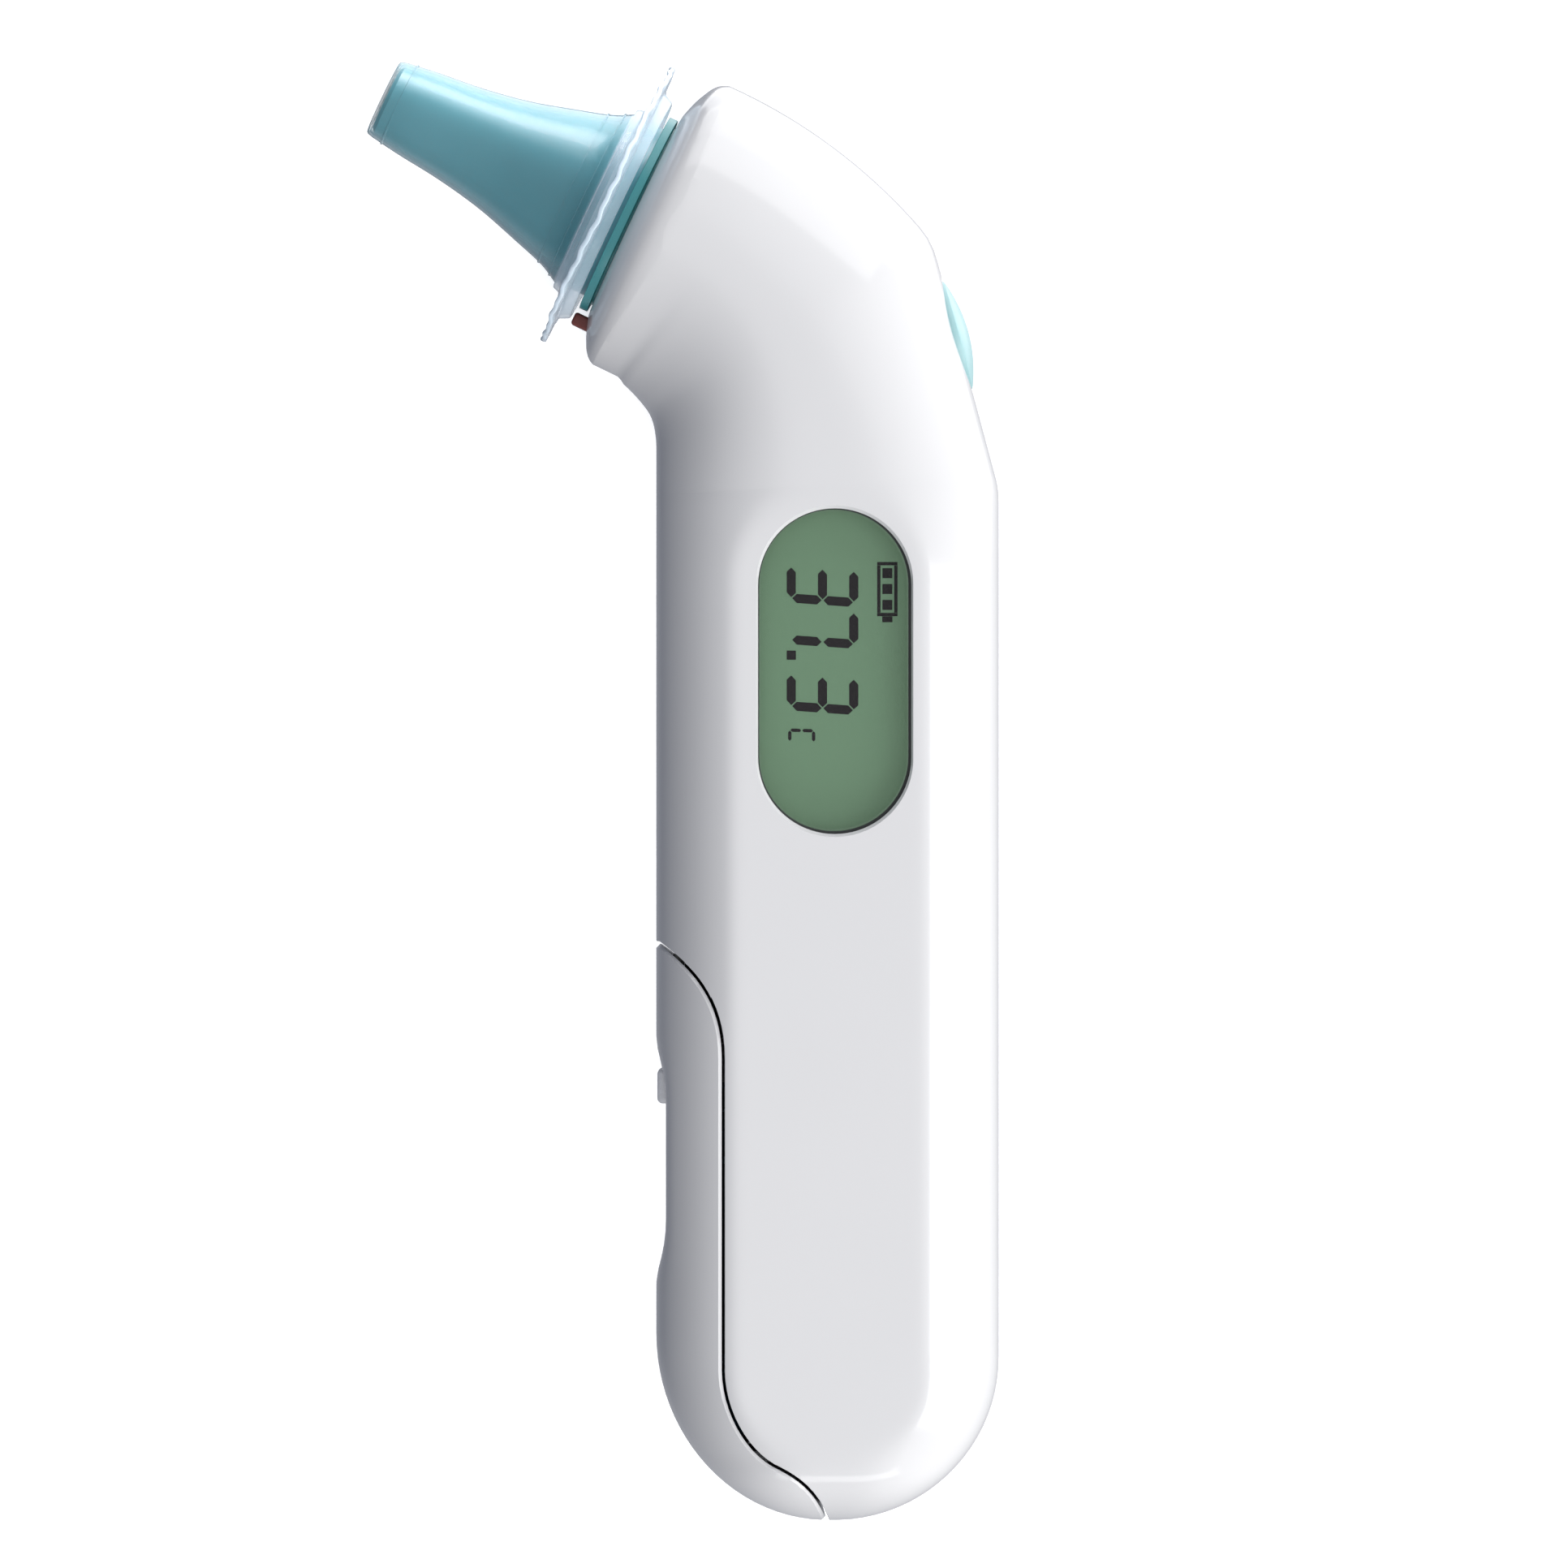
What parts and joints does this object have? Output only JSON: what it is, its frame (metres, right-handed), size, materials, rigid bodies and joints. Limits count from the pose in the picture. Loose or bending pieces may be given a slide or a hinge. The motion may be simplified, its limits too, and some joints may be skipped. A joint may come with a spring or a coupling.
{
  "type": "digital ear thermometer",
  "caption": "Angled hand-held infrared ear thermometer with side display, start button, sliding battery door and a clear push-on cover over its tapered probe.",
  "frame": {"origin": "middle of the bounding box of the base, on the plane that the thermometer lies on", "axes": "+Y runs from the handle's end towards the head, +X towards the back of the handle where the start button is, +Z out of the display. The probe points towards -X and +Y."},
  "size_m": [0.0659, 0.1519, 0.033],
  "materials": {
    "white_shell": "polished white moulded plastic",
    "white_button": "satin white moulded plastic",
    "aqua_button": "soft satin, light aqua",
    "teal_ring": "satin teal moulded plastic",
    "teal_nose": "smooth teal moulded plastic",
    "clear_filter": "thin clear glossy moulding",
    "clear_window": "polished clear plastic",
    "dark_lens": "coated infrared window",
    "red_pin": "dark red-brown moulded plastic",
    "lcd_glass": "grey-green reflective liquid crystal cell",
    "holder_plastic": "matt white moulded plastic",
    "grey_rubber": "layered silicone strip",
    "green_board": "solder mask over glass fibre laminate",
    "black_part": "matt black moulding",
    "gold_tube": "gold plated, polished",
    "nickel_part": "nickel plated steel",
    "cast_alloy": "turned alloy",
    "cradle_plastic": "matt light grey moulded plastic",
    "cell_jacket": "printed foil jacket with bare ends",
    "amber_flex": "amber polyimide strip"
  },
  "bodies": {
    "housing": {"display_side_shell": "white_shell", "rear_side_shell": "white_shell", "housing_screw_1": "nickel_part", "housing_screw_2": "nickel_part", "battery_cradle": "cradle_plastic", "battery_cell_1": "cell_jacket", "battery_cell_2": "cell_jacket", "bridge_contact": "nickel_part", "plate_contact": "nickel_part", "spring_contact": "nickel_part", "power_switch_board": "green_board", "power_switch": "black_part", "display_window": "clear_window", "lcd_glass": "lcd_glass", "lcd_reflector": "holder_plastic", "lcd_connector_strip": "grey_rubber", "main_board": "green_board", "board_screw_1": "nickel_part", "board_screw_2": "nickel_part", "processor_chip": "black_part", "buzzer": "black_part", "start_switch": "black_part", "start_switch_board": "green_board", "start_button_spring": "nickel_part", "probe_nose": "teal_nose", "probe_window": "dark_lens", "waveguide_tube": "gold_tube", "thermopile_sensor": "nickel_part", "sensor_holder": "cast_alloy", "sensor_board": "green_board", "sensor_flex": "amber_flex", "probe_collar": "holder_plastic", "collar_screw_1": "nickel_part", "collar_screw_2": "nickel_part", "ejector_spring_1": "nickel_part", "ejector_spring_2": "nickel_part", "detector_switch": "black_part"},
    "battery_door": {"battery_door": "white_shell"},
    "power_button": {"power_memory_button": "white_button"},
    "start_button": {"start_button": "aqua_button", "start_switch_plunger": "black_part"},
    "ejector_ring": {"ejector_ring": "teal_ring"},
    "lens_filter": {"lens_filter": "clear_filter"},
    "detector_pin": {"filter_detector_pin": "red_pin"}
  },
  "joints": [
    {"name": "battery_door_slide", "type": "slide", "parent": "housing", "child": "battery_door", "axis": [0, -1, 0], "range_m": [0, 0.066]},
    {"name": "power_button_press", "type": "slide", "parent": "battery_door", "child": "power_button", "axis": [1, 0, 0], "range_m": [0, 0.0006], "stiffness_N_per_m": 40, "springref_m": -0.002},
    {"name": "start_button_press", "type": "slide", "parent": "housing", "child": "start_button", "axis": [-0.9659, -0.2588, 0], "range_m": [0, 0.0009], "stiffness_N_per_m": 120, "springref_m": -0.002, "deforming": ["start_button_spring"]},
    {"name": "ejector_ring_push", "type": "slide", "parent": "housing", "child": "ejector_ring", "axis": [-0.9018, 0.4321, 0], "range_m": [0, 0.0025], "stiffness_N_per_m": 120, "springref_m": -0.002, "deforming": ["ejector_spring_1", "ejector_spring_2"]},
    {"name": "lens_filter_pull", "type": "slide", "parent": "ejector_ring", "child": "lens_filter", "axis": [-0.9018, 0.4321, 0], "range_m": [0, 0.034]},
    {"name": "detector_pin_press", "type": "slide", "parent": "housing", "child": "detector_pin", "axis": [0.9018, -0.4321, 0], "range_m": [0, 0.0012], "stiffness_N_per_m": 12, "springref_m": -0.002}
  ]
}
